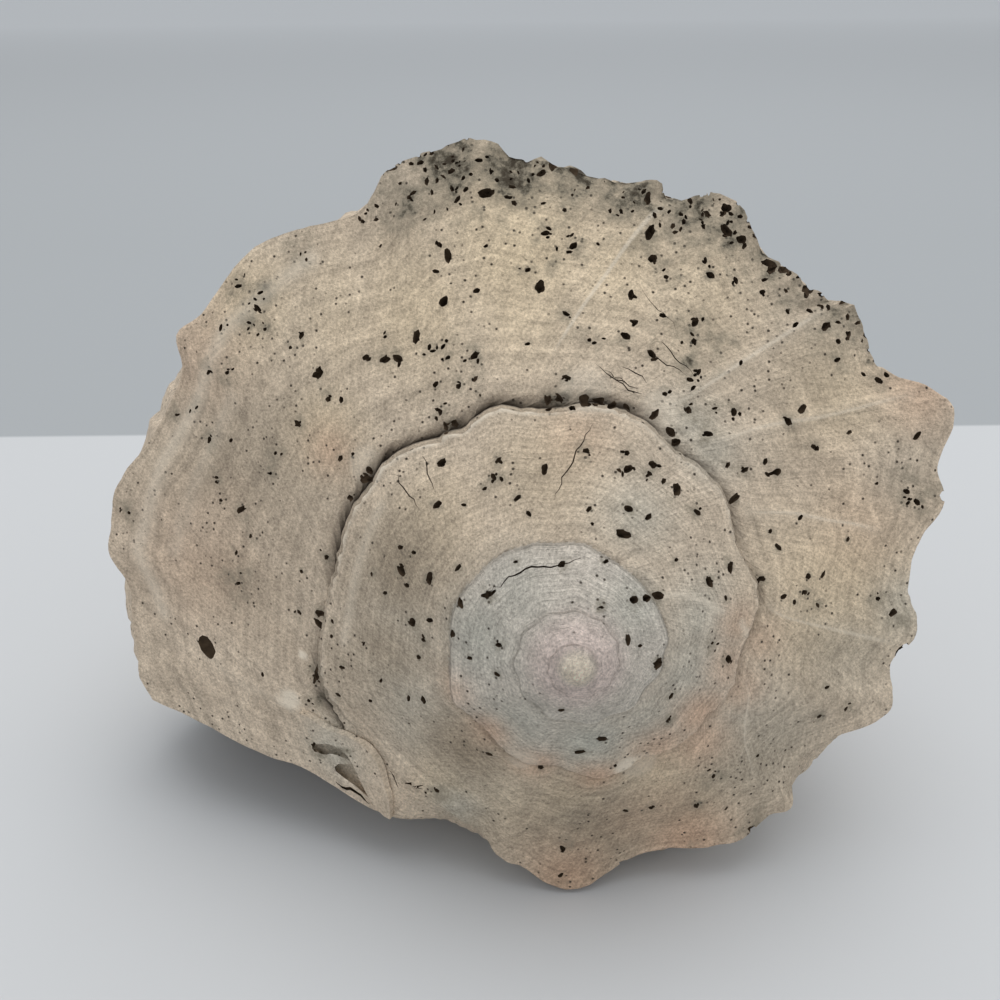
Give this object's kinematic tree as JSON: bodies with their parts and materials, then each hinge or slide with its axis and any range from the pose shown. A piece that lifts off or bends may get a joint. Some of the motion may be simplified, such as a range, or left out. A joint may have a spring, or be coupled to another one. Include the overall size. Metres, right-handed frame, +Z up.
{
  "type": "lightning whelk shell",
  "caption": "Weathered left-handed whelk shell, one hollow whorled solid, lying on its aperture side as a display specimen.",
  "frame": {"origin": "middle of the shell's box on the surface it lies on", "axes": "+Z up; the spire points to -Y and 12.6 degrees upwards; the siphonal canal points to +Y; the lip and the aperture's mouth are at -X, facing down"},
  "size_m": [0.139, 0.211, 0.113],
  "materials": {
    "shell": "matte"
  },
  "bodies": {
    "root": {"shell": "shell"}
  },
  "joints": []
}
